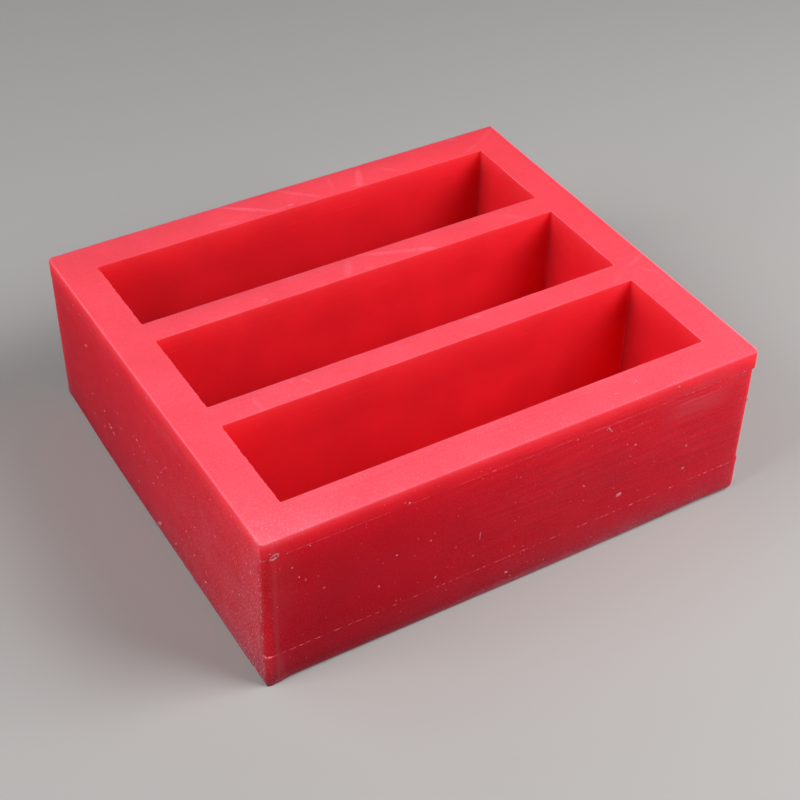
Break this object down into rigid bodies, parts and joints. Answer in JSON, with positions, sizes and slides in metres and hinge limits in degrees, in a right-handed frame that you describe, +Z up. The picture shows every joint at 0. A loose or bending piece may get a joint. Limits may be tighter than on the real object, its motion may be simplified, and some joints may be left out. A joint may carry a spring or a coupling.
{
  "type": "silicone soap mould",
  "caption": "Thick-walled flexible block mould with long rectangular open-topped cavities side by side, for casting loaves of soap, wax or resin.",
  "frame": {"origin": "middle of the underside, on the surface the mould stands on", "axes": "+X along the cavities, +Y across them towards the narrowest cavity, +Z up out of the open cavities"},
  "size_m": [0.255, 0.226, 0.085],
  "materials": {
    "red_silicone": "soft satin, slightly translucent cast silicone rubber, dusty on the sides"
  },
  "bodies": {
    "root": {"base_slab": "red_silicone", "wall_block": "red_silicone", "top_rim": "red_silicone"}
  },
  "joints": []
}
